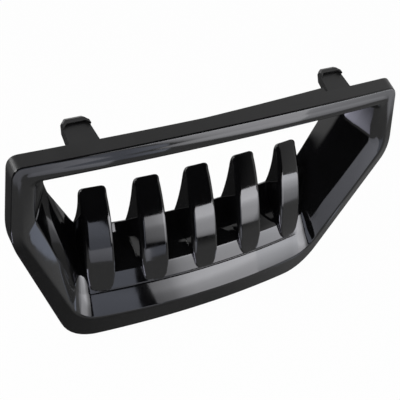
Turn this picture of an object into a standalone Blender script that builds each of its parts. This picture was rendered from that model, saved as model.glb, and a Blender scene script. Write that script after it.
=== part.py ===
"""Bumper grille insert: one moulded hexagonal surround with five hollow upright fins and two clip tongues."""
import math

import bmesh
import bpy
import numpy as np

# Axes: X across the car, Y rearward, Z up. The sizes below are measured from the middle of the lower edge line,
# level with the top corners' front; the finished part is set down with its lower flange's rear edge on the origin.

# Rim outline, front view
rim_half_width = 0.180       # top corners from the middle
rim_height = 0.175           # top edge above the lower edge
side_drop = 0.058            # height of the upright upper sides
side_flare = 0.002           # the upper sides spread this much going down
foot_half_width = 0.119      # lower corners from the middle
side_setback = 0.001         # middle corners behind the top corners
foot_setback = 0.0286        # lower corners behind the top corners
top_bow = 0.0046             # middle of the top edge ahead of its corners
foot_bow = 0.0098            # middle of the lower edge ahead of its corners
top_corner_radius = 0.009
side_corner_radius = 0.013
foot_corner_radius = 0.024
band_top_radius = 0.007
band_side_radius = 0.008
band_foot_radius = 0.018
funnel_top_radius = 0.005
funnel_side_radius = 0.0035
funnel_foot_radius = 0.013

# Shell
wall = 0.0025
edge_radius = 0.0024         # outer edge of the rim
nose_radius = 0.0045         # fold between the outer chamfer and the inner face
mouth_radius = 0.0014        # edge where the face turns into the funnel
draw_angle = math.radians(33)  # the flanges run rearward and up at this angle
skirt_depth = 0.0117         # return flange behind the rim, along the draw direction

# Outer chamfer: inner border, measured in from the rim
band_top_in = 0.0065
band_top_down = 0.0035
band_side_in = 0.0085
band_side_up = 0.0025
band_foot_in = 0.0038
band_foot_up = 0.0207
band_forward = 0.0018        # the top and side chamfer leads the rim by this
band_foot_forward = 0.0076   # the lower corners of the chamfer lead the rim by this
band_foot_bow = 0.0140

# Mouth: edge between the face and the funnel, measured in from the rim
lip_drop = 0.0157            # depth of the top bar seen from the front
mouth_side_in = 0.0190       # width of the face on the upper sides
mouth_side_up = 0.0125       # middle corners of the mouth above those of the rim
mouth_foot_in = 0.0060
mouth_foot_up = 0.0440
mouth_set_in = 0.0038        # the mouth lies this far behind the rim at the sides
mouth_foot_set = -0.0021
mouth_top_bow = 0.0046
mouth_foot_bow = 0.0110

# Funnel: throat, step and rear edge
throat_half_width = 0.1500
throat_mid_half_width = 0.1430
throat_mid_height = 0.1460
throat_foot_half_width = 0.1090
throat_foot_height = 0.0625
throat_y = 0.0260            # throat behind the origin at the middle corners
throat_foot_y = 0.0360
throat_foot_bow = 0.0105
ceiling_depth = 0.0200       # upper wall of the funnel, along the draw direction
step_foot_half_width = 0.1055
step_foot_height = 0.0750
step_foot_y = 0.0440
step_foot_bow = 0.0012
rear_half_width = 0.1488
rear_mid_half_width = 0.1378
rear_mid_height = 0.1376
rear_foot_half_width = 0.1040
rear_foot_height = 0.0892
rear_y = 0.0460              # plane of the rear edges
rear_sag = 0.0065            # the floor's rear edge dips this much in the middle

# Fins
fin_count = 5
fin_pitch = 0.0475
fin_half_width = 0.0127      # at the widest level
fin_widest_height = 0.064
fin_tip_half_width = 0.0078
fin_top_half_width = 0.0113
fin_corner_radius = 0.0030   # upper corners, front view
fin_wall = 0.0022
fin_edge_radius = 0.0040
fin_top_height = 0.1259
fin_top_y = 0.0394           # of the outer fins
fin_top_bow = 0.0034         # top of the middle fin ahead of the outer ones
fin_top_lean = math.radians(30)   # the fin leans back by this much at its top
fin_top_depth = 0.0026       # side walls at the top, front to rear
fin_tip_handle = 0.030
fin_top_handle = 0.022
fin_tail = 0.0012            # side walls run this far behind the floor's rear edge
fin_waist = 0.0060           # their rear line draws in this much between foot and top
fin_crowding = 0.2           # levels lie closer together toward the top

# Clip tongues on the upper flange
clip_centre = 0.1200
clip_root_half_width = 0.0128
clip_tip_half_width = 0.0100
clip_length = 0.0218         # tongue past the flange, along the draw direction
clip_corner = 0.0030         # cut off each corner of the tip
clip_wing = 0.0034           # side wings below the tongue
clip_wing_wall = 0.0016
clip_wing_draft = 0.0005
clip_root_overlap = 0.0040   # tongue laid under the flange
clip_sink = 0.0003           # tongue below the flange's outer surface
hook_length = 0.0054
hook_height = 0.0020
hook_flat = 0.0032           # level top of the hook, front to rear

# Ledge behind the upper flange
ledge_start = -0.030
ledge_end = 0.1055
ledge_reach = 0.0046         # at its wide end
ledge_thickness = 0.0016
ledge_sink = 0.0007

# Facets
top_steps = 16
side_steps = 3
slant_steps = 6
foot_steps = 16
corner_steps = 4
fin_steps = 9

draw = np.array([0.0, math.cos(draw_angle), math.sin(draw_angle)])
outward = np.array([0.0, -math.sin(draw_angle), math.cos(draw_angle)])
rim_mid_half_width = rim_half_width + side_flare
rim_mid_height = rim_height - side_drop


def line(start, end, steps):
    """Points of a straight run, both ends left out."""
    return [start + (end - start) * step / steps for step in range(1, steps)]


def crowd(share):
    """Shares of a run, closer together toward its end."""
    return share + fin_crowding * math.sin(math.pi * share)


def bend(start, corner, end, steps):
    """Points of a rounded corner, both ends kept, in equal steps or at the given shares."""
    shares = steps if isinstance(steps, list) else [step / steps for step in range(steps + 1)]
    return [start * (1 - t) ** 2 + corner * 2 * t * (1 - t) + end * t ** 2 for t in shares]


class Loop:
    """A closed six-sided path, the same on both sides of the middle, given by its right-hand corners."""

    def __init__(self, top, mid, foot, top_lead=0.0, foot_lead=0.0, foot_dip=0.0, radii=None):
        self.top = np.array(top, float)
        self.mid = np.array(mid, float)
        self.foot = np.array(foot, float)
        self.top_lead = top_lead
        self.foot_lead = foot_lead
        self.foot_dip = foot_dip
        self.radii = radii or (top_corner_radius, side_corner_radius, foot_corner_radius)

    def moved(self, step):
        return Loop(self.top + step, self.mid + step, self.foot + step,
                    self.top_lead, self.foot_lead, self.foot_dip, self.radii)

    def top_point(self, x):
        share = 1.0 - (x / self.top[0]) ** 2
        return np.array([x, self.top[1] - self.top_lead * share, self.top[2]])

    def foot_point(self, x):
        share = 1.0 - (x / self.foot[0]) ** 2
        return np.array([x, self.foot[1] - self.foot_lead * share, self.foot[2] - self.foot_dip * share])

    def right(self):
        """Right-hand corners and sides, from the end of the top side to the start of the lower one."""
        def toward(a, b, cut):
            return a + (b - a) / np.linalg.norm(b - a) * cut

        upper = toward(self.top, self.mid, self.radii[0])
        mid_in = toward(self.mid, self.top, self.radii[1])
        mid_out = toward(self.mid, self.foot, self.radii[1])
        lower = toward(self.foot, self.mid, self.radii[2])
        top_end = self.top_point(self.top[0] - self.radii[0])
        foot_end = self.foot_point(self.foot[0] - self.radii[2])
        points = bend(top_end, self.top, upper, corner_steps)[1:]
        points += line(upper, mid_in, side_steps)
        points += bend(mid_in, self.mid, mid_out, corner_steps)
        points += line(mid_out, lower, slant_steps)
        points += bend(lower, self.foot, foot_end, corner_steps)[:-1]
        return points

    def path(self):
        """The whole loop, clockwise from the front, from the left end of the top side."""
        top_end = self.top[0] - self.radii[0]
        foot_end = self.foot[0] - self.radii[2]
        top = [self.top_point(x) for x in np.linspace(-top_end, top_end, top_steps + 1)]
        foot = [self.foot_point(x) for x in np.linspace(foot_end, -foot_end, foot_steps + 1)]
        right = self.right()
        return top + right + foot + [point * (-1, 1, 1) for point in right[::-1]]

    def floor_point(self, x):
        """The point of the lower part of the loop at this x, on the foot, its corner or the slant."""
        foot_end = self.foot[0] - self.radii[2]
        lower = [self.foot_point(step) for step in np.linspace(0, foot_end, foot_steps + 1)]
        lower += [point for point in self.right()[::-1] if point[2] < self.mid[2] - self.radii[1]]
        lower = np.array(lower)
        return np.array([x, np.interp(abs(x), lower[:, 0], lower[:, 1]), np.interp(abs(x), lower[:, 0], lower[:, 2])])


# The stations of the shell, from the rim inward and rearward
band_radii = (band_top_radius, band_side_radius, band_foot_radius)
funnel_radii = (funnel_top_radius, funnel_side_radius, funnel_foot_radius)
rim = Loop((rim_half_width, 0.0, rim_height),
           (rim_mid_half_width, side_setback, rim_mid_height),
           (foot_half_width, foot_setback, 0.0), top_bow, foot_bow)
skirt = rim.moved(draw * skirt_depth)
band = Loop(rim.top - (band_top_in, band_forward, band_top_down),
            rim.mid + (-band_side_in, -band_forward, band_side_up),
            rim.foot + (-band_foot_in, -band_foot_forward, band_foot_up), top_bow, band_foot_bow,
            radii=band_radii)
mouth = Loop(rim.top + (-mouth_side_in, mouth_set_in, -lip_drop),
             rim.mid + (-mouth_side_in - side_flare, mouth_set_in, mouth_side_up),
             rim.foot + (-mouth_foot_in, mouth_foot_set, mouth_foot_up), mouth_top_bow, mouth_foot_bow,
             radii=funnel_radii)
ceiling = mouth.top + draw * ceiling_depth
throat = Loop((throat_half_width, (mouth.top[1] + ceiling[1]) / 2, (mouth.top[2] + ceiling[2]) / 2),
              (throat_mid_half_width, throat_y, throat_mid_height),
              (throat_foot_half_width, throat_foot_y, throat_foot_height),
              mouth_top_bow, throat_foot_bow, radii=funnel_radii)
rear = Loop((rear_half_width, ceiling[1], ceiling[2]),
            (rear_mid_half_width, rear_y, rear_mid_height),
            (rear_foot_half_width, rear_y, rear_foot_height),
            mouth_top_bow, 0.0, rear_sag, radii=funnel_radii)
datum = skirt.foot_point(0.0)     # seat of the lower flange, in the middle: the part's origin
step = Loop((throat.top + rear.top) / 2, (throat.mid + rear.mid) / 2,
            (step_foot_half_width, step_foot_y, step_foot_height),
            mouth_top_bow, step_foot_bow, radii=funnel_radii)


def ring(bm, points):
    """A closed ring of edges through the points."""
    verts = [bm.verts.new(point) for point in points]
    return [bm.edges.new((verts[i - 1], verts[i])) for i in range(len(verts))]


def loft(bm, stations, capped):
    """Skin over a row of rings with as many points each."""
    rings = [ring(bm, points) for points in stations]
    for first, second in zip(rings, rings[1:]):
        bmesh.ops.bridge_loops(bm, edges=first + second)
    if capped:
        bmesh.ops.contextual_create(bm, geom=rings[0])
        bmesh.ops.contextual_create(bm, geom=rings[-1])
    return rings


def finish(bm, name, hidden=False):
    bmesh.ops.recalc_face_normals(bm, faces=bm.faces)
    mesh = bpy.data.meshes.new(name)
    bm.to_mesh(mesh)
    bm.free()
    item = bpy.data.objects.new(name, mesh)
    item.location = -datum
    bpy.context.scene.collection.objects.link(item)
    if hidden:
        item.hide_render = True
        item.display_type = "WIRE"
    return item


def make_shell():
    """The open skin of the surround; its wall is laid on behind."""
    bm = bmesh.new()
    rings = loft(bm, [loop.path() for loop in (skirt, rim, band, mouth, throat, step, rear)], False)
    for index, radius, segments in ((1, edge_radius, 3), (2, nose_radius, 3), (3, mouth_radius, 2)):
        bmesh.ops.bevel(bm, geom=rings[index], offset=radius, offset_type="OFFSET", segments=segments,
                        profile=0.5, affect="EDGES", clamp_overlap=True, material=-1)
    shell = finish(bm, "grille_moulding")
    front = min(shell.data.polygons, key=lambda face: face.center.y)
    if front.normal.y > 0:
        shell.data.flip_normals()
    return shell


def fin_rib(x):
    """Side view of a fin at this x: its front line, and its foot and rear line, with as many points each."""
    floor = [loop.floor_point(x) for loop in (mouth, throat, step, rear)]
    tip = floor[0]
    span = (fin_count - 1) / 2 * fin_pitch
    top = np.array([x, fin_top_y - fin_top_bow * (1.0 - (x / span) ** 2), fin_top_height])
    lean = np.array([0.0, math.sin(fin_top_lean), math.cos(fin_top_lean)])
    low = tip + (0.0, 0.0, fin_tip_handle)
    high = top - lean * fin_top_handle
    sunk = []
    for before, here, after in zip([floor[0]] + floor, floor[:3], floor[1:]):
        run = after - before
        sunk.append(here + np.array([0.0, run[2], -run[1]]) / np.linalg.norm(run) * wall / 2)
    heel = np.array([x, rear_y + fin_tail, floor[3][2]])
    back_top = top + (0.0, fin_top_depth, -fin_top_depth / 2)
    waist = np.array([x, rear_y - fin_waist, (heel[2] + back_top[2]) / 2])
    foot = sunk + [heel]
    back = []
    for start, end in zip(foot, foot[1:]):
        back += [start] + line(start, end, 3)
    back += bend(heel, waist, back_top, [crowd(i / (fin_steps - 3)) for i in range(fin_steps - 2)])
    front = []
    for i in range(len(back)):
        t = crowd(i / (len(back) - 1))
        front.append(tip * (1 - t) ** 3 + low * 3 * t * (1 - t) ** 2 + high * 3 * t * t * (1 - t) + top * t ** 3)
    return np.array(front), np.array(back)


def fin_half(height, tip_height):
    """Half the width of a fin at this height: narrow at the tip, widest above it, rounded off at the top."""
    if height < fin_widest_height:
        share = max((height - tip_height) / (fin_widest_height - tip_height), 0.0)
        return fin_tip_half_width + (fin_half_width - fin_tip_half_width) * math.sin(share * math.pi / 2)
    share = (height - fin_widest_height) / (fin_top_height - fin_widest_height)
    half = fin_half_width + (fin_top_half_width - fin_half_width) * share ** 1.5
    into = max(fin_corner_radius - (fin_top_height - height), 0.0)
    return half - fin_corner_radius + math.sqrt(max(fin_corner_radius ** 2 - into ** 2, 0.0))


def fin_stations(centre, hollow):
    """Level-by-level outlines of one fin, or of the hollow behind its walls."""
    left_front, left_back = fin_rib(centre - fin_half_width)
    right_front, right_back = fin_rib(centre + fin_half_width)
    stations = []
    count = len(left_front)
    run = np.gradient((left_front + right_front) / 2, axis=0)
    for i in range(count):
        half = fin_half(left_front[i][2], left_front[0][2])
        inset = run[i] / np.linalg.norm(run[i])
        inset = np.array([0.0, inset[2], -inset[1]]) * fin_wall
        corners = []
        for front, back, side in ((left_front[i], left_back[i], -1), (right_front[i], right_back[i], 1)):
            x = centre + side * (half - (fin_wall if hollow else 0.0))
            near = np.array([x, front[1], front[2]])
            far = np.array([x, back[1], back[2]])
            if hollow:
                near = near + inset
                far = np.array([x, rear_y + 4 * fin_half_width, near[2] - fin_wall])
            corners.append((near, far))
        stations.append(corners)
    if hollow:
        rise = (stations[-1][0][0] - stations[-2][0][0]) * 3
        stations.append([(near + rise, far + rise * (0, 0, 1)) for near, far in stations[-1]])
        stations = stations[1:]
    radius = fin_edge_radius - (fin_wall if hollow else 0.0)
    outlines = []
    for (left_near, left_far), (right_near, right_far) in stations:
        cut = min(radius, np.linalg.norm(left_far - left_near) / 2, np.linalg.norm(right_far - right_near) / 2)
        across = (right_near - left_near) / np.linalg.norm(right_near - left_near) * cut
        left_in = (left_far - left_near) / np.linalg.norm(left_far - left_near) * cut
        right_in = (right_far - right_near) / np.linalg.norm(right_far - right_near) * cut
        outline = bend(left_near + left_in, left_near, left_near + across, 3)
        outline += bend(right_near - across, right_near, right_near + right_in, 3)
        outlines.append(outline + [right_far, left_far])
    return outlines


def make_fins(name, hollow):
    bm = bmesh.new()
    for index in range(fin_count):
        centre = (index - (fin_count - 1) / 2) * fin_pitch
        loft(bm, fin_stations(centre, hollow), True)
    return finish(bm, name, True)


def flange_point(x, along, out):
    """A point measured from the rear edge of the upper flange: along the draw direction, and out from its surface."""
    return rim.top_point(x) + draw * (skirt_depth + along) + outward * out


def clip_outline(length, wing):
    """Side view of a tongue of this length with side wings of this depth: steps along it and out from it."""
    top = -clip_sink
    under = top - wall - wing
    hook = length - hook_length
    return [(-clip_root_overlap, top), (hook, top), (hook, hook_height), (hook + hook_flat, hook_height),
            (length, 0.0), (length, top - wall), (hook, under), (-clip_root_overlap, under)]


def make_clips():
    """Two tapered tongues, each with side wings and a low hook across its tip, its corners cut off."""
    bm = bmesh.new()
    wing_root = clip_wing_wall + clip_wing_draft
    levels = [(0.0, clip_length - clip_corner, clip_wing), (clip_wing_wall, clip_length - clip_corner / 2, clip_wing),
              (wing_root, clip_length - clip_corner / 4, 0.0), (clip_corner, clip_length, 0.0)]
    for side in (-1, 1):
        stations = []
        for edge, row in ((-1, levels), (1, levels[::-1])):
            for inset, length, wing in row:
                points = []
                for along, out in clip_outline(length, wing):
                    share = min(max(along / clip_length, 0.0), 1.0)
                    half = clip_root_half_width + (clip_tip_half_width - clip_root_half_width) * share
                    point = flange_point(side * clip_centre, along, out)
                    points.append(point + (edge * (half - inset), 0.0, 0.0))
                stations.append(points)
        loft(bm, stations, True)
    return finish(bm, "clip_tongues", True)


def make_ledge():
    """A thin ledge behind the upper flange, widening toward one end."""
    bm = bmesh.new()
    stations = []
    for x in np.linspace(ledge_start, ledge_end, 6):
        reach = ledge_reach * (x - ledge_start) / (ledge_end - ledge_start)
        stations.append([flange_point(x, along, out) for along, out in (
            (-wall, -ledge_sink), (reach, -ledge_sink),
            (reach, -ledge_sink - ledge_thickness), (-wall, -ledge_sink - ledge_thickness))])
    loft(bm, stations, True)
    return finish(bm, "flange_ledge", True)


def join(item, other, operation):
    cut = item.modifiers.new(operation.lower() + "_" + other.name, "BOOLEAN")
    cut.operation = operation
    cut.solver = "EXACT"
    cut.object = other


def make_material():
    material = bpy.data.materials.new("gloss_black_moulding")
    material.use_nodes = True
    shader = material.node_tree.nodes["Principled BSDF"]
    shader.inputs["Base Color"].default_value = (0.006, 0.006, 0.007, 1.0)
    shader.inputs["Roughness"].default_value = 0.12
    shader.inputs["Metallic"].default_value = 0.0
    return material


def main():
    for item in list(bpy.data.objects):
        bpy.data.objects.remove(item, do_unlink=True)
    shell = make_shell()
    thick = shell.modifiers.new("wall", "SOLIDIFY")
    thick.thickness = wall
    thick.offset = -1.0
    thick.use_even_offset = True
    join(shell, make_clips(), "UNION")
    join(shell, make_ledge(), "UNION")
    join(shell, make_fins("fin_bodies", False), "UNION")
    join(shell, make_fins("fin_hollows", True), "DIFFERENCE")
    shell.data.materials.append(make_material())
    shell.data.shade_smooth()
    shell.data.set_sharp_from_angle(angle=math.radians(35))


main()
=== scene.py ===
import math

import bmesh
import bpy
from mathutils import Matrix, Vector


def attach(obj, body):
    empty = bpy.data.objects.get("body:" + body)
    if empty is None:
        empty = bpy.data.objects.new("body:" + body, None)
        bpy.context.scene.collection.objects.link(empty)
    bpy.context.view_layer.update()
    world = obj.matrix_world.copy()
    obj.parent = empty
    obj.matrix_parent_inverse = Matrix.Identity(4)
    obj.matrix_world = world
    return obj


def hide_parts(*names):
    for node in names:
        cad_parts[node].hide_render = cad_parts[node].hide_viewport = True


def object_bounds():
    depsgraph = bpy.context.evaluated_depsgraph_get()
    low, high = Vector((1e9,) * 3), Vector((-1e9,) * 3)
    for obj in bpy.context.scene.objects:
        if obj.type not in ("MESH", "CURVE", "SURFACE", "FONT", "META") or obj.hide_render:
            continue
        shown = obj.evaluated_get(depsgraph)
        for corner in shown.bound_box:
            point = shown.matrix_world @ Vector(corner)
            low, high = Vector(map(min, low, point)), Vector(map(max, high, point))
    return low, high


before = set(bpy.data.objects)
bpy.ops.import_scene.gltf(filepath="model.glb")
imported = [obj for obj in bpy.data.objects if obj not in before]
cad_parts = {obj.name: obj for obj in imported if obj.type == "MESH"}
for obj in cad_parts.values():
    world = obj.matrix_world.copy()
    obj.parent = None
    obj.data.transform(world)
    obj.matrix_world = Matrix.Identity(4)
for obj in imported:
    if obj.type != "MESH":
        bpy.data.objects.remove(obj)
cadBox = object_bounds()
scene = bpy.context.scene

# lengths in the dictionaries are millimetres; X across the car, Y rearward, Z up
# the surround is measured from the middle of its lower edge line, level with the front of its top corners
mm = 0.001
drawAngle = math.radians(33)  # flanges and tongues run rearward and up at this angle
draw = Vector((0, math.cos(drawAngle), math.sin(drawAngle)))
outward = Vector((0, -math.sin(drawAngle), math.cos(drawAngle)))
polished, dull = 0, 1  # material slots


# helpers

def toLinear(hexColour):
    parts = [int(hexColour[i:i + 2], 16) / 255 for i in (1, 3, 5)]
    return [c / 12.92 if c < 0.04045 else ((c + 0.055) / 1.055) ** 2.4 for c in parts] + [1]


def addNode(tree, kind, links=None, inputs=None, **settings):
    node = tree.nodes.new("ShaderNode" + kind)
    for name, value in settings.items():
        setattr(node, name, value)
    for name, value in (inputs or {}).items():
        node.inputs[name].default_value = value
    for name, source in (links or {}).items():
        tree.links.new(source, node.inputs[name])
    return node


def bend(start, corner, end, steps):  # a rounded corner, both ends kept
    shares = [i / steps for i in range(steps + 1)]
    return [start * (1 - t) ** 2 + corner * 2 * t * (1 - t) + end * t ** 2 for t in shares]


def between(start, end, steps):  # a straight run, both ends left out
    return [start.lerp(end, i / steps) for i in range(1, steps)]


def ringOn(bm, points):  # a circle laid on the points
    ring = bmesh.ops.create_circle(bm, segments=len(points), radius=1)["verts"]
    for vert, point in zip(ring, points):
        vert.co = point
    return ring


def ringEdges(ring):
    return [edge for edge in {e for v in ring for e in v.link_edges} if all(v in ring for v in edge.verts)]


def skin(bm, rows, capped):  # a skin bridged over a row of rings
    rings = [ringOn(bm, points) for points in rows]
    edges = [ringEdges(ring) for ring in rings]
    for first, second in zip(edges, edges[1:]):
        bmesh.ops.bridge_loops(bm, edges=first + second)
    if capped:
        bmesh.ops.contextual_create(bm, geom=edges[0])
        bmesh.ops.contextual_create(bm, geom=edges[-1])
    return edges


def makeObject(bm, name):
    bmesh.ops.recalc_face_normals(bm, faces=bm.faces)
    bmesh.ops.scale(bm, vec=(mm, mm, mm), verts=bm.verts)
    mesh = bpy.data.meshes.new(name)
    bm.to_mesh(mesh)
    bm.free()
    piece = bpy.data.objects.new(name, mesh)
    scene.collection.objects.link(piece)
    return piece


def applyModifiers(piece):
    done = bpy.data.meshes.new_from_object(piece.evaluated_get(bpy.context.evaluated_depsgraph_get()))
    piece.modifiers.clear()
    piece.data = done


# surround

surround = {
    "rimHalfWidth": 180, "rimHeight": 175, "sideDrop": 58, "sideFlare": 2, "footHalfWidth": 119,
    "sideSetback": 1, "footSetback": 28.6, "topBow": 4.6, "footBow": 9.8,
    "rimCorners": (9, 13, 24),    # top, middle and lower corners
    "bandCorners": (7, 8, 18),
    "funnelCorners": (5, 3.5, 13), "throatCorners": (5, 3.5, 8),
    "wall": 2.5, "skirtDepth": 11.7,
    "wallShare": 0.4,  # the flange's extra row of points lies at this share of its depth
    "edgeRadius": 0.9, "noseRadius": 1.8, "lipRadius": 1.2,  # setbacks of the folds
    "ridgeRadius": 2.5, "throatRadius": 4,
    "foldLimit": 0.48,  # a fold takes at most this share of the face beside it
    "sideNoseRadius": 3, "sideLipRadius": 4,  # softer folds on the upright sides
    "topLipRadius": 3.8, "topLow": 150,  # and under the lip
    "grooveDepth": 0.2, "grooveHalfWidth": 0.9,  # a fine groove along the lower mouth line
    "sideStart": 158, "sideLow": 132,  # outside and above these a fold belongs to an upright side
    "sideBlend": 3, "lowBlend": 8,     # and has its whole softness this much farther
    "bandTop": (6.5, -0.27, 3.5), "bandSide": (8.5, -1.8, 2.5), "bandFoot": (3.8, -8.8, 20.7),
    "bandFootBow": 11.8, "bandFootDip": 0.7,
    "mouthTop": (16.3, -0.65, 14.2), "mouthTopBow": 4.8,
    "mouthSide": (21, 3.8, 12.5), "mouthFoot": (5.7, -3, 40.7), "mouthFootBow": 11,
    "faceCrown": 0.005,           # the face swells by this share of its width
    "ridgeFoot": (111, 29.8, 56.3), "ridgeFootBow": 11,  # the ramp breaks here and lies down
    "throatTop": (150, 12.2, 164.7), "throatMid": (143, 26, 146), "throatFoot": (109, 36, 62.5),
    "throatFootBow": 10.5,
    "stepFoot": (105.5, 44, 75), "stepFootBow": 1.2,
    "rearTop": (148.8, 20.6, 170.2), "rearMid": (137.8, 46, 137.6), "rearFoot": (104, 46, 89.2),
    "rearSag": 6.5,
    "topSteps": 40, "sideSteps": 6, "slantSteps": 12, "footSteps": 40, "cornerSteps": 8,
    "faceSteps": 5, "foldSteps": 7, "ridgeSteps": 5, "throatSteps": 3,
}


def makeLoop(top, mid, foot, corners, topBow=0.0, footBow=0.0, footDip=0.0):
    return {"top": Vector(top), "mid": Vector(mid), "foot": Vector(foot), "corners": corners,
            "topBow": topBow, "footBow": footBow, "footDip": footDip}


def topPoint(loop, x):
    share = 1 - (x / loop["top"].x) ** 2
    return Vector((x, loop["top"].y - loop["topBow"] * share, loop["top"].z))


def footPoint(loop, x):
    share = 1 - (x / loop["foot"].x) ** 2
    return Vector((x, loop["foot"].y - loop["footBow"] * share, loop["foot"].z - loop["footDip"] * share))


def rightSide(loop):
    s = surround
    top, mid, foot = loop["top"], loop["mid"], loop["foot"]
    topCut, midCut, footCut = loop["corners"]
    upper = top + (mid - top).normalized() * topCut
    midIn = mid + (top - mid).normalized() * midCut
    midOut = mid + (foot - mid).normalized() * midCut
    lower = foot + (mid - foot).normalized() * footCut
    points = bend(topPoint(loop, top.x - topCut), top, upper, s["cornerSteps"])[1:]
    points += between(upper, midIn, s["sideSteps"])
    points += bend(midIn, mid, midOut, s["cornerSteps"])
    points += between(midOut, lower, s["slantSteps"])
    return points + bend(lower, foot, footPoint(loop, foot.x - footCut), s["cornerSteps"])[:-1]


def wholeLoop(loop):
    s = surround
    topEnd = loop["top"].x - loop["corners"][0]
    footEnd = loop["foot"].x - loop["corners"][2]
    top = [topPoint(loop, topEnd * (2 * i / s["topSteps"] - 1)) for i in range(s["topSteps"] + 1)]
    foot = [footPoint(loop, footEnd * (1 - 2 * i / s["footSteps"])) for i in range(s["footSteps"] + 1)]
    right = rightSide(loop)
    return top + right + foot + [Vector((-p.x, p.y, p.z)) for p in reversed(right)]


def makeStations():
    s = surround
    midHalf = s["rimHalfWidth"] + s["sideFlare"]
    midHeight = s["rimHeight"] - s["sideDrop"]
    rim = makeLoop((s["rimHalfWidth"], 0, s["rimHeight"]), (midHalf, s["sideSetback"], midHeight),
                   (s["footHalfWidth"], s["footSetback"], 0), s["rimCorners"], s["topBow"], s["footBow"])

    # steps from the rim: inward, rearward, and down at the top or up elsewhere
    def inside(top, side, foot, *rest):
        return makeLoop(rim["top"] + Vector((-top[0], top[1], -top[2])),
                        rim["mid"] + Vector((-side[0], side[1], side[2])),
                        rim["foot"] + Vector((-foot[0], foot[1], foot[2])), *rest)

    skirt = makeLoop(*(rim[k] + draw * s["skirtDepth"] for k in ("top", "mid", "foot")), s["rimCorners"],
                     s["topBow"], s["footBow"])
    band = inside(s["bandTop"], s["bandSide"], s["bandFoot"], s["bandCorners"], s["topBow"],
                  s["bandFootBow"], s["bandFootDip"])
    mouth = inside(s["mouthTop"], s["mouthSide"], s["mouthFoot"], s["funnelCorners"], s["mouthTopBow"],
                   s["mouthFootBow"])
    throat = makeLoop(s["throatTop"], s["throatMid"], s["throatFoot"], s["throatCorners"], s["topBow"],
                      s["throatFootBow"])
    ridge = makeLoop((mouth["top"] + throat["top"]) / 2, (mouth["mid"] + throat["mid"]) / 2, s["ridgeFoot"],
                     s["throatCorners"], (s["topBow"] + s["mouthTopBow"]) / 2, s["ridgeFootBow"])
    rear = makeLoop(s["rearTop"], s["rearMid"], s["rearFoot"], s["funnelCorners"], s["topBow"],
                    footDip=s["rearSag"])
    step = makeLoop((throat["top"] + rear["top"]) / 2, (throat["mid"] + rear["mid"]) / 2, s["stepFoot"],
                    s["funnelCorners"], s["topBow"], s["stepFootBow"])
    return {"skirt": skirt, "rim": rim, "band": band, "mouth": mouth,
            "ridge": ridge, "throat": throat, "step": step, "rear": rear}


def rounded(before, fold, after, tangent, setback, steps):  # the way round one fold, by its setback
    ends = []
    for other in (before, after):
        way = (other - fold).normalized()
        most = (other - fold).length * surround["foldLimit"]
        ends.append(fold + way * min(setback / way.cross(tangent).length, most))
    return bend(ends[0], fold, ends[1], steps)


def makeSurround(stations):
    s = surround
    paths = [wholeLoop(loop) for loop in stations.values()]
    count = len(paths[0])
    profiles = []
    for i in range(count):
        skirt, rim, band, mouth, ridge, throat, step, rear = (path[i] for path in paths)
        tangents = [(path[(i + 1) % count] - path[i - 1]).normalized() for path in paths]
        side = min(max((abs(mouth.x) - s["sideStart"]) / s["sideBlend"], 0), 1)
        side *= min(max((mouth.z - s["sideLow"]) / s["lowBlend"], 0), 1)
        noseRadius = s["noseRadius"] + (s["sideNoseRadius"] - s["noseRadius"]) * side
        lipRadius = s["lipRadius"] + (s["sideLipRadius"] - s["lipRadius"]) * side
        lipRadius = max(lipRadius, s["topLipRadius"] if mouth.z > s["topLow"] else 0)
        edge = rounded(skirt, rim, band, tangents[1], s["edgeRadius"], s["foldSteps"])
        nose = rounded(rim, band, mouth, tangents[2], noseRadius, s["foldSteps"])
        lip = rounded(band, mouth, ridge, tangents[3], lipRadius, s["foldSteps"])
        brow = rounded(mouth, ridge, throat, tangents[4], s["ridgeRadius"], s["ridgeSteps"])
        turn = rounded(ridge, throat, step, tangents[5], s["throatRadius"], s["throatSteps"])
        heel = rounded(throat, step, rear, tangents[6], s["throatRadius"], s["throatSteps"])
        swell = tangents[2].cross(mouth - band).normalized() * s["faceCrown"] * (mouth - band).length
        swell = swell if swell.y < 0 else -swell
        shares = [j / s["faceSteps"] for j in range(1, s["faceSteps"])]
        face = [nose[-1].lerp(lip[0], t) + swell * 4 * t * (1 - t) for t in shares]
        ramp = [lip[-1].lerp(brow[0], 0.5)] + brow + turn + heel
        profiles.append([skirt, skirt.lerp(rim, s["wallShare"])] + edge + nose + face + lip + ramp + [rear])
    bm = bmesh.new()
    edges = skin(bm, [list(row) for row in zip(*profiles)], False)
    for row in edges[:2]:  # the return flange is dull up to the rounding of the rim
        for edge in row:
            for face in edge.link_faces:
                face.material_index = dull
    piece = makeObject(bm, "grilleMoulding")
    front = min(piece.data.polygons, key=lambda f: f.center.y)
    if front.normal.y > 0:
        piece.data.flip_normals()
    thick = piece.modifiers.new("wall", "SOLIDIFY")
    thick.thickness, thick.offset, thick.use_even_offset = s["wall"] * mm, -1, True
    thick.material_offset = thick.material_offset_rim = dull
    return piece


# fins

fins = {
    "count": 5, "pitch": 47.5, "halfWidth": 12.7, "widestHeight": 64, "tipHalfWidth": 8.6,
    "topHalfWidth": 11.3, "topTaper": 1.5,
    "cornerRadius": 3.6, "tipRadius": 5.5,  # of the outline at the top and at the foot
    "edgeRadius": 4, "tipEdge": 0.5, "edgeGrowth": 0.22,  # front edges: most, at the foot, gain with height
    "wall": 2.2, "topHeight": 125.9, "topY": 39.4, "topBow": 3.4,
    "topLean": math.radians(30), "topDepth": 2.6, "tipHandle": 30, "topHandle": 22, "tail": 1.2, "waist": 6,
    "hollowReach": 4, "hollowRise": 3,  # the hollow's body: half widths past the rear, steps past the top
    "crowding": 0.62, "levels": 44, "footSteps": (11, 4, 4, 4, 4), "edgeSteps": 6, "floorSteps": 20,
}


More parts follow.
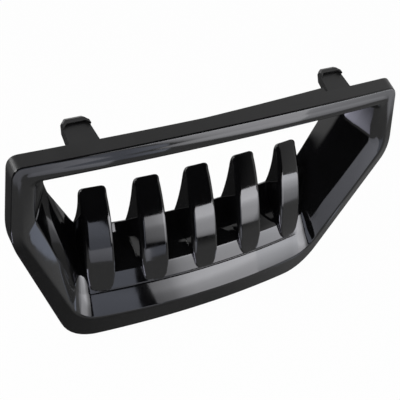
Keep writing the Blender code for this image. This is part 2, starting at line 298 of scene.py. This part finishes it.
def floorPoint(loop, x):  # the point of the lower part of a loop at this x
    footEnd = loop["foot"].x - loop["corners"][2]
    steps = fins["floorSteps"]
    lower = [footPoint(loop, footEnd * i / steps) for i in range(steps + 1)]
    lower += [p for p in reversed(rightSide(loop)) if p.z < loop["mid"].z - loop["corners"][1]]
    for a, b in zip(lower, lower[1:]):
        if a.x <= abs(x) <= b.x:
            point = a.lerp(b, (abs(x) - a.x) / (b.x - a.x))
            return Vector((x, point.y, point.z))
    return Vector((x, lower[-1].y, lower[-1].z))


def crowd(share):  # levels lie closer at the foot and at the top
    return share - fins["crowding"] * math.sin(2 * math.pi * share) / (2 * math.pi)


def finRib(stations, x):  # side view of a fin: its front line, and its foot and rear line
    f = fins
    floor = [floorPoint(stations[name], x) for name in ("mouth", "ridge", "throat", "step", "rear")]
    span = (f["count"] - 1) / 2 * f["pitch"]
    top = Vector((x, f["topY"] - f["topBow"] * (1 - (x / span) ** 2), f["topHeight"]))
    low = floor[0] + Vector((0, 0, f["tipHandle"]))
    high = top - Vector((0, math.sin(f["topLean"]), math.cos(f["topLean"]))) * f["topHandle"]
    foot = []
    for before, here, after in zip([floor[0]] + floor, floor[:-1], floor[1:]):
        run = (after - before).normalized()
        foot.append(here + Vector((0, run.z, -run.y)) * surround["wall"] / 2)
    rearY = stations["rear"]["foot"].y
    heel = Vector((x, rearY + f["tail"], floor[-1].z))
    backTop = top + Vector((0, f["topDepth"], -f["topDepth"] / 2))
    waist = Vector((x, rearY - f["waist"], (heel.z + backTop.z) / 2))
    foot.append(heel)
    back = []
    for start, end, steps in zip(foot, foot[1:], f["footSteps"]):
        back += [start] + between(start, end, steps)
    upper = f["levels"] - len(back)
    for i in range(upper + 1):
        t = crowd(i / upper)
        back.append(heel * (1 - t) ** 2 + waist * 2 * t * (1 - t) + backTop * t ** 2)
    front = []
    for i in range(len(back)):
        t = crowd(i / (len(back) - 1))
        lower = floor[0] * (1 - t) ** 3 + low * 3 * t * (1 - t) ** 2
        front.append(lower + high * 3 * t * t * (1 - t) + top * t ** 3)
    return front, back


def finHalf(height, tipHeight):  # half the width at this height
    f = fins
    if height < f["widestHeight"]:
        share = max((height - tipHeight) / (f["widestHeight"] - tipHeight), 0)
        into = max(f["tipRadius"] - (height - tipHeight), 0)
        lost = f["tipRadius"] - math.sqrt(max(f["tipRadius"] ** 2 - into ** 2, 0))
        gained = (f["halfWidth"] - f["tipHalfWidth"]) * math.sin(share * math.pi / 2)
        return f["tipHalfWidth"] + gained - lost
    share = (height - f["widestHeight"]) / (f["topHeight"] - f["widestHeight"])
    half = f["halfWidth"] + (f["topHalfWidth"] - f["halfWidth"]) * share ** f["topTaper"]
    into = max(f["cornerRadius"] - (f["topHeight"] - height), 0)
    return half - f["cornerRadius"] + math.sqrt(max(f["cornerRadius"] ** 2 - into ** 2, 0))


def finLevels(stations, centre, hollow):  # outlines of one fin, or of the hollow behind its walls
    f = fins
    inset = f["wall"] if hollow else 0
    leftFront, leftBack = finRib(stations, centre - f["halfWidth"])
    rightFront, rightBack = finRib(stations, centre + f["halfWidth"])
    levels = []
    for i, (a, b) in enumerate(zip(leftFront, rightFront)):
        before = (leftFront[max(i - 1, 0)] + rightFront[max(i - 1, 0)]) / 2
        after = (leftFront[min(i + 1, len(leftFront) - 1)] + rightFront[min(i + 1, len(leftFront) - 1)]) / 2
        run = (after - before).normalized()
        half = finHalf(a.z, leftFront[0].z) - inset
        corners = []
        for near, far, side in ((a, leftBack[i], -1), (b, rightBack[i], 1)):
            near = Vector((centre + side * half, near.y, near.z)) + Vector((0, run.z, -run.y)) * inset
            if hollow:
                farY = stations["rear"]["foot"].y + f["hollowReach"] * f["halfWidth"]
                far = Vector((near.x, farY, near.z - f["wall"]))
            corners.append((near, Vector((near.x, far.y, far.z))))
        levels.append(corners)
    if hollow:
        past = (levels[-1][0][0] - levels[-2][0][0]) * f["hollowRise"]
        levels.append([(near + past, far + Vector((0, 0, past.z))) for near, far in levels[-1]])
        levels = levels[1:]
    rows = []
    for (leftNear, leftFar), (rightNear, rightFar) in levels:
        growing = f["tipEdge"] + (leftNear.z - leftFront[0].z) * f["edgeGrowth"]
        cut = min(f["edgeRadius"] - inset, (leftFar - leftNear).length / 2, growing)
        across = (rightNear - leftNear).normalized() * cut
        leftIn = (leftFar - leftNear).normalized() * cut
        rightIn = (rightFar - rightNear).normalized() * cut
        row = bend(leftNear + leftIn, leftNear, leftNear + across, f["edgeSteps"])
        row += bend(rightNear - across, rightNear, rightNear + rightIn, f["edgeSteps"])
        rows.append(row + [rightFar, leftFar])
    return rows


def makeFins(stations, name, hollow):
    bm = bmesh.new()
    for i in range(fins["count"]):
        skin(bm, finLevels(stations, (i - (fins["count"] - 1) / 2) * fins["pitch"], hollow), True)
    return makeObject(bm, name)


# clip tongues and ledge on the upper flange

tongues = {
    "centre": 120, "rootHalfWidth": 12.8, "tipHalfWidth": 10, "length": 21.8, "corner": 3,
    "wing": 3.4, "wingWall": 1.6, "wingDraft": 0.5, "rootOverlap": 4, "sink": 0.3,
    "hookLength": 5.4, "hookHeight": 2, "hookFlat": 3.2,
}

ledge = {"start": -30, "end": 105.5, "reach": 4.6, "thickness": 1.6, "sink": 0.7, "steps": 6}


def flangePoint(stations, x, along, out):
    return topPoint(stations["rim"], x) + draw * (surround["skirtDepth"] + along) + outward * out


def makeTongues(stations):
    t = tongues
    bm = bmesh.new()
    wingRoot = t["wingWall"] + t["wingDraft"]
    slices = [(0, t["length"] - t["corner"], t["wing"]),  # inset from the side, length, wing's depth
              (t["wingWall"], t["length"] - t["corner"] / 2, t["wing"]),
              (wingRoot, t["length"] - t["corner"] / 4, 0), (t["corner"], t["length"], 0)]
    for side in (-1, 1):
        rows = []
        for edge, order in ((-1, slices), (1, slices[::-1])):
            for inset, length, wing in order:
                top = -t["sink"]
                under = top - surround["wall"] - wing
                root = -t["rootOverlap"]
                hook = length - t["hookLength"]
                row = []
                for along, out in ((root, top), (hook, top), (hook, t["hookHeight"]),
                                   (hook + t["hookFlat"], t["hookHeight"]), (length, 0),
                                   (length, top - surround["wall"]), (hook, under), (root, under)):
                    share = min(max(along / t["length"], 0), 1)
                    half = t["rootHalfWidth"] + (t["tipHalfWidth"] - t["rootHalfWidth"]) * share - inset
                    middle = flangePoint(stations, side * t["centre"], along, out)
                    row.append(middle + Vector((edge * half, 0, 0)))
                rows.append(row)
        skin(bm, rows, True)
    return makeObject(bm, "clipTongues")


def makeLedge(stations):
    bm = bmesh.new()
    rows = []
    top = -ledge["sink"]
    under = top - ledge["thickness"]
    root = -surround["wall"]
    for i in range(ledge["steps"] + 1):
        x = ledge["start"] + (ledge["end"] - ledge["start"]) * i / ledge["steps"]
        reach = ledge["reach"] * i / ledge["steps"]
        rows.append([flangePoint(stations, x, along, out) for along, out in
                     ((root, top), (reach, top), (reach, under), (root, under))])
    skin(bm, rows, True)
    return makeObject(bm, "flangeLedge")


def cutGroove(mesh, stations):  # sinks the vertices along the lower mouth line
    s = surround
    mouth = stations["mouth"]
    footEnd = mouth["foot"].x - mouth["corners"][2]
    for vert in mesh.vertices:
        place = vert.co / mm
        line = footPoint(mouth, place.x)
        near = math.hypot(place.y - line.y, place.z - line.z) / s["grooveHalfWidth"]
        if abs(place.x) < footEnd and near < 1:
            slope = footPoint(stations["ridge"], place.x) - footPoint(stations["band"], place.x)
            inward = Vector((0, slope.z, -slope.y)).normalized()
            vert.co += inward * s["grooveDepth"] * mm * math.cos(near * math.pi / 2) ** 2


# the whole moulding

moulding = {"smallRadius": 0.7, "smallSegments": 2, "sharpAngle": math.radians(38), "normalWeight": 60}


def makeMoulding():
    stations = makeStations()
    piece = makeSurround(stations)
    extras = [(makeTongues(stations), "UNION", dull), (makeLedge(stations), "UNION", dull),
              (makeFins(stations, "finBodies", False), "UNION", polished),
              (makeFins(stations, "finHollows", True), "DIFFERENCE", dull)]
    for other, operation, finish in extras:
        for polygon in other.data.polygons:
            polygon.material_index = finish
        join = piece.modifiers.new(other.name, "BOOLEAN")
        join.operation, join.solver, join.object = operation, "EXACT", other
    for material in (glossAbs, satinAbs):
        piece.data.materials.append(material)
        for other, operation, finish in extras:
            other.data.materials.append(material)
    applyModifiers(piece)
    for other, operation, finish in extras:
        bpy.data.objects.remove(other)
    cutGroove(piece.data, stations)
    seat = footPoint(stations["skirt"], 0) * mm  # the frame's origin: rear edge of the lower flange
    piece.data.transform(Matrix.Translation(-seat))
    small = piece.modifiers.new("smallEdges", "BEVEL")
    small.limit_method, small.angle_limit = "ANGLE", moulding["sharpAngle"]
    small.width, small.segments, small.profile = moulding["smallRadius"] * mm, moulding["smallSegments"], 0.5
    small.use_clamp_overlap, small.miter_outer, small.harden_normals = True, "MITER_ARC", False
    piece.data.shade_smooth()
    applyModifiers(piece)
    even = piece.modifiers.new("evenNormals", "WEIGHTED_NORMAL")
    even.keep_sharp, even.weight = False, moulding["normalWeight"]
    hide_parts("grille_moulding")
    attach(piece, "root")
    print("moulding:", len(piece.data.polygons), "faces")


# finishes

def startMaterial(name):
    material = bpy.data.materials.new(name)
    material.use_nodes = True
    return material, material.node_tree, material.node_tree.nodes["Principled BSDF"]


absIor = 1.53
noiseSpan = {"From Min": 0.3, "From Max": 0.7}  # where most of a noise's values lie

gloss = {
    "colour": "#0b0b0c", "cloud": "#111113", "cloudSize": 30,
    "roughness": 0.05, "haze": (0.7, 1.4), "hazeSize": 9,  # it wanders between these shares of itself
    "ripple": 14, "rippleHeight": 0.012,
    "foldRadius": 1.1, "foldSamples": 8,  # the light goes round folds and edges by this radius
}


# ABS, injection moulded in a mirror-polished tool: deep black, sharp reflections, a faint flow ripple
def makeGlossAbs():
    material, tree, shader = startMaterial("polishedMouldedAbs")
    place = addNode(tree, "TexCoord").outputs["Object"]
    cloud = addNode(tree, "TexNoise", {"Vector": place},
                    {"Scale": 1 / (gloss["cloudSize"] * mm), "Detail": 3})
    tint = addNode(tree, "Mix", {"Factor": cloud.outputs["Fac"]}, data_type="RGBA")
    tint.inputs["A"].default_value = toLinear(gloss["colour"])
    tint.inputs["B"].default_value = toLinear(gloss["cloud"])
    tree.links.new(tint.outputs["Result"], shader.inputs["Base Color"])
    haze = addNode(tree, "TexNoise", {"Vector": place}, {"Scale": 1 / (gloss["hazeSize"] * mm), "Detail": 4})
    least, most = (gloss["roughness"] * share for share in gloss["haze"])
    rough = addNode(tree, "MapRange", {"Value": haze.outputs["Fac"]},
                    {**noiseSpan, "To Min": least, "To Max": most})
    tree.links.new(rough.outputs["Result"], shader.inputs["Roughness"])
    ripple = addNode(tree, "TexNoise", {"Vector": place}, {"Scale": 1 / (gloss["ripple"] * mm), "Detail": 1})
    fold = addNode(tree, "Bevel", inputs={"Radius": gloss["foldRadius"] * mm}, samples=gloss["foldSamples"])
    bump = addNode(tree, "Bump", {"Height": ripple.outputs["Fac"], "Normal": fold.outputs["Normal"]},
                   {"Strength": 1, "Distance": gloss["rippleHeight"] * mm})
    tree.links.new(bump.outputs["Normal"], shader.inputs["Normal"])
    shader.inputs["IOR"].default_value = absIor
    return material


satin = {
    "colour": "#131314", "worn": "#19191a", "cloudSize": 22,
    "roughness": 0.42, "smoother": 0.05, "rougher": 0.06,  # the roughness wanders by these
    "grain": 1.1, "grainHeight": 0.02, "grainStrength": 0.5,
}


# the same ABS moulded against a blasted tool: dull grey-black with a grain, drawn coarser than the real one
def makeSatinAbs():
    material, tree, shader = startMaterial("blastedMouldedAbs")
    place = addNode(tree, "TexCoord").outputs["Object"]
    cloud = addNode(tree, "TexNoise", {"Vector": place},
                    {"Scale": 1 / (satin["cloudSize"] * mm), "Detail": 4})
    tint = addNode(tree, "Mix", {"Factor": cloud.outputs["Fac"]}, data_type="RGBA")
    tint.inputs["A"].default_value = toLinear(satin["colour"])
    tint.inputs["B"].default_value = toLinear(satin["worn"])
    tree.links.new(tint.outputs["Result"], shader.inputs["Base Color"])
    least = satin["roughness"] - satin["smoother"]
    most = satin["roughness"] + satin["rougher"]
    rough = addNode(tree, "MapRange", {"Value": cloud.outputs["Fac"]},
                    {**noiseSpan, "To Min": least, "To Max": most})
    tree.links.new(rough.outputs["Result"], shader.inputs["Roughness"])
    grain = addNode(tree, "TexNoise", {"Vector": place}, {"Scale": 1 / (satin["grain"] * mm), "Detail": 2})
    bump = addNode(tree, "Bump", {"Height": grain.outputs["Fac"]},
                   {"Strength": satin["grainStrength"], "Distance": satin["grainHeight"] * mm})
    tree.links.new(bump.outputs["Normal"], shader.inputs["Normal"])
    shader.inputs["IOR"].default_value = absIor
    return material


# studio

studio = {  # metres here
    "aim": Vector((0.0, -0.01, 0.09)),
    # name, azimuth from the front towards +X, elevation, distance, width, height, brightness, seen in gloss
    "softboxes": [
        ("overhead", 120, 62, 1.2, 1.2, 1.2, 0.26, True),
        ("leftTop", -80, 48, 1.0, 0.5, 0.36, 9, True),
        ("frontFill", -30, 40, 1.6, 1.4, 1.4, 0.35, False),
    ],
}


def makeSoftbox(name, azimuth, elevation, distance, width, height, brightness, inGloss):
    a, e = math.radians(azimuth), math.radians(elevation)
    way = Vector((math.sin(a) * math.cos(e), -math.cos(a) * math.cos(e), math.sin(e)))
    lamp = bpy.data.lights.new(name, "AREA")
    lamp.shape, lamp.size, lamp.size_y = "RECTANGLE", width, height
    lamp.energy = brightness * math.pi * width * height  # brightness 1 shows as white in a mirror
    box = bpy.data.objects.new(name, lamp)
    box.location = studio["aim"] + way * distance
    box.rotation_euler = way.to_track_quat("Z", "Y").to_euler()
    box.visible_camera = False
    box.visible_glossy = inGloss
    scene.collection.objects.link(box)


# bright cards seen only in the gloss, as the photograph's reflections need them; world millimetres
windowWall = {"start": (79.5, -1081.5), "run": (958.5, 671)}  # four of them stand along this line


def onWall(share, height):
    x, y = (a + b * share for a, b in zip(windowWall["start"], windowWall["run"]))
    return x, y, height


cardCells = 8
# corners, lower then upper, left to right; tint; brightness along the card; its share going up the card
cards = {
    "leftWindow": ((onWall(-0.1, -185), onWall(0.145, -185), onWall(-0.1, 120), onWall(0.13, 74)), "#e7edff",
                   ((0, 1.7), (0.5, 1.7), (1, 1.75)),
                   ((0, 0.6), (0.12, 0.66), (0.3, 0.7), (0.44, 0.82), (0.57, 0.9), (0.71, 0.94), (0.85, 1),
                    (1, 1))),
    "slantWindow": (((-225, -600, -112), (180, -600, -165), (-225, -600, -62), (180, -600, -84)), "#f1f3ff",
                    ((0, 1.6), (0.2, 1.7), (0.5, 1.9), (0.7, 2), (1, 2.6)),
                    ((0, 0.7), (0.4, 0.85), (0.8, 1), (1, 1))),
    "lipWindow": ((onWall(0.1, -320), onWall(0.36, -205), onWall(0.1, -192), onWall(0.36, -140)), "#e7edff",
                  ((0, 1.2), (0.55, 1.3), (0.7, 1.2), (0.8, 1.5), (1, 2.1)), ((0, 0.6), (0.2, 1), (1, 1))),
    "rightWindow": ((onWall(0.22, -120), onWall(0.62, -172), onWall(0.175, 105), onWall(0.62, 95)),
                    "#fafaff",
                    ((0, 2.6), (0.07, 3), (0.18, 3.8), (0.29, 6.2), (0.4, 7.6), (0.55, 8), (1, 8.2)),
                    ((0, 0.2), (0.05, 0.37), (0.11, 0.45), (0.22, 0.54), (0.46, 0.6), (0.57, 0.7), (0.68, 1),
                     (1, 0.95))),
    "rightLowWindow": ((onWall(0.62, -172), onWall(1, -215), onWall(0.62, 58), onWall(1, -80)), "#f8f9ff",
                       ((0, 7.7), (0.35, 6.7), (0.5, 5.9), (0.62, 4.9), (1, 3.5)),
                       ((0, 0.14), (0.1, 0.29), (0.25, 0.34), (0.42, 0.43), (0.55, 0.6), (0.7, 0.76),
                        (0.85, 1), (1, 1))),
    "lowSideWindow": (((300, -184, -142), (300, -44, -122), (300, -184, -114), (300, -44, -93)), "#e0e9ff",
                      ((0, 1.8), (0.5, 1.75), (1, 1.5)), ((0, 1), (1, 1))),
    "cornerCard": (((-599, -171, -502), (-401, -544, -502), (-744, -202, -266), (-507, -647, -266)),
                   "#ebebff",
                   ((0, 7.4), (0.35, 6.5), (0.55, 4.5), (0.8, 2.2), (1, 0.9)), ((0, 1), (1, 1))),
}


def stopRamp(tree, share, steps, tint, peak):  # a brightness that follows the listed steps
    ramp = addNode(tree, "ValToRGB", {"Fac": share})
    stops = ramp.color_ramp.elements
    for along, value in steps[1:-1]:  # a new ramp has its two end stops already
        stops.new(along)
    for stop, (along, value) in zip(stops, steps):
        stop.color = [c * value / peak for c in toLinear(tint)[:3]] + [1]
    return ramp.outputs["Color"]


def makeCards():
    for name, (corners, tint, across, upward) in cards.items():
        lowLeft, lowRight, topLeft, topRight = [Vector(corner) for corner in corners]
        bm = bmesh.new()
        bm.loops.layers.uv.new("across")
        bmesh.ops.create_grid(bm, x_segments=cardCells, y_segments=cardCells, size=0.5, calc_uvs=True)
        for vert in bm.verts:
            along, up = vert.co.x + 0.5, vert.co.y + 0.5
            vert.co = lowLeft.lerp(lowRight, along).lerp(topLeft.lerp(topRight, along), up)
        card = makeObject(bm, name)
        material, tree = startMaterial(name)[:2]
        place = addNode(tree, "SeparateXYZ", {"Vector": addNode(tree, "TexCoord").outputs["UV"]})
        peak = max(value for along, value in across)
        glow = stopRamp(tree, place.outputs["X"], across, tint, peak)
        rise = stopRamp(tree, place.outputs["Y"], upward, "#ffffff", 1)
        fade = addNode(tree, "Math", {0: rise}, {1: peak}, operation="MULTIPLY")
        light = addNode(tree, "Emission", {"Color": glow, "Strength": fade.outputs[0]})
        tree.links.new(light.outputs[0], tree.nodes["Material Output"].inputs["Surface"])
        card.data.materials.append(material)
        card.visible_camera = card.visible_diffuse = card.visible_shadow = False


# spans: where a zone starts and ends in the ray's direction; the rest is brightness as seen in the gloss
room = {
    "leftSpan": (-0.85, -0.7), "leftShare": 0.12,  # the floor is darker far to the left
    "sideSpan": (0.62, 0.78), "side": 0.8, "dark": 0.012,  # pale at the right, dark before the part
    "floorSpan": (-0.22, -0.3), "floor": 0.5,
    "underSpan": (-0.6, -0.85), "under": 0.15,
    "backSpan": (-0.1, 0.35),
    "wallSpan": (-0.25, -0.05), "wallFoot": 0.06, "wall": 1.0,
    "fill": 0.25,  # for rays that light dull faces
}


def zone(tree, value, span, before, after, **settings):  # before and after are numbers or sockets
    node = addNode(tree, "MapRange", {"Value": value}, {"From Min": span[0], "From Max": span[1]},
                   **settings)
    for name, level in (("To Min", before), ("To Max", after)):
        if isinstance(level, bpy.types.NodeSocket):
            tree.links.new(level, node.inputs[name])
        else:
            node.inputs[name].default_value = level
    return node.outputs["Result"]


def makeWorld():  # a white backdrop behind the part, a pale floor below and a dark room in front of it
    world = bpy.data.worlds.new("studioRoom")
    world.use_nodes = True
    scene.world = world
    tree = world.node_tree
    background = tree.nodes["Background"]
    way = addNode(tree, "SeparateXYZ", {"Vector": addNode(tree, "TexCoord").outputs["Generated"]}).outputs
    rays = addNode(tree, "LightPath").outputs
    lit = zone(tree, way["X"], room["leftSpan"], room["leftShare"], 1.0)
    glow = addNode(tree, "Math", {0: lit}, {1: room["floor"]}, operation="MULTIPLY").outputs[0]
    side = zone(tree, way["X"], room["sideSpan"], room["dark"], room["side"])
    low = zone(tree, way["Z"], room["floorSpan"], side, glow)
    under = zone(tree, way["Z"], room["underSpan"], 0.0, 1.0)
    ground = addNode(tree, "Mix", {"Factor": under, "A": low}, {"B": room["under"]}, data_type="FLOAT")
    behind = zone(tree, way["Y"], room["backSpan"], 0.0, 1.0, interpolation_type="SMOOTHSTEP")
    wall = zone(tree, way["Z"], room["wallSpan"], room["wallFoot"], room["wall"])
    around = addNode(tree, "Mix", {"Factor": behind, "A": ground.outputs["Result"], "B": wall},
                     data_type="FLOAT")
    shine = addNode(tree, "Math", {0: rays["Is Glossy Ray"], 1: rays["Is Transmission Ray"]},
                    operation="MAXIMUM")
    reflected = addNode(tree, "Mix", {"Factor": shine.outputs[0], "B": around.outputs["Result"]},
                        {"A": room["fill"]}, data_type="FLOAT")
    seen = addNode(tree, "Mix", {"Factor": rays["Is Camera Ray"], "A": reflected.outputs["Result"]},
                   {"B": 1.0}, data_type="FLOAT")
    tree.links.new(seen.outputs["Result"], background.inputs["Strength"])
    background.inputs["Color"].default_value = (1, 1, 1, 1)


floorPlate = {
    "half": 4000, "gap": 0.2,  # half its width, and how far it lies under the part
    "colour": "#d8d8d8", "glow": 0.98, "roughness": 0.75, "specular": 0.2,
}


def makeFloor():
    bm = bmesh.new()
    bmesh.ops.create_grid(bm, x_segments=1, y_segments=1, size=floorPlate["half"])
    floor = makeObject(bm, "studioFloor")
    floor.data.transform(Matrix.Translation((0, 0, cadBox[0][2] - floorPlate["gap"] * mm)))
    material, tree, shader = startMaterial("whiteVinylFloor")
    shader.inputs["Base Color"].default_value = toLinear(floorPlate["colour"])
    shader.inputs["Roughness"].default_value = floorPlate["roughness"]
    shader.inputs["Specular IOR Level"].default_value = floorPlate["specular"]
    glow = addNode(tree, "Emission", inputs={"Color": (1, 1, 1, 1), "Strength": 1.0})
    camera = addNode(tree, "Math", {0: addNode(tree, "LightPath").outputs["Is Camera Ray"]},
                     {1: floorPlate["glow"]}, operation="MULTIPLY")
    both = addNode(tree, "MixShader", {"Fac": camera.outputs[0], 1: shader.outputs[0], 2: glow.outputs[0]})
    tree.links.new(both.outputs[0], tree.nodes["Material Output"].inputs["Surface"])
    floor.data.materials.append(material)
    floor.visible_glossy = False  # gloss sees the room's own pale floor


camera = {  # solved from the photograph: place in metres, and the view's own axes
    "place": (-0.45929, -0.62934, 0.48134), "lens": 95.67, "sensor": 36, "clipStart": 0.01,
    "right": (0.82278, -0.56556, 0.05619), "up": (0.21313, 0.39868, 0.89197),
    "back": (-0.52688, -0.72192, 0.44857),
}


def makeCamera():
    data = bpy.data.cameras.new("photoView")
    data.lens, data.sensor_width, data.clip_start = camera["lens"], camera["sensor"], camera["clipStart"]
    eye = bpy.data.objects.new("photoView", data)
    axes = Matrix((camera["right"], camera["up"], camera["back"])).transposed().to_4x4()
    eye.matrix_world = Matrix.Translation(camera["place"]) @ axes
    scene.collection.objects.link(eye)
    scene.camera = eye


glossAbs = makeGlossAbs()
satinAbs = makeSatinAbs()
print("finishes ready")
makeMoulding()
makeFloor()
makeWorld()
makeCards()
for softbox in studio["softboxes"]:
    makeSoftbox(*softbox)
makeCamera()
scene.view_settings.view_transform = "Standard"
print("studio ready")
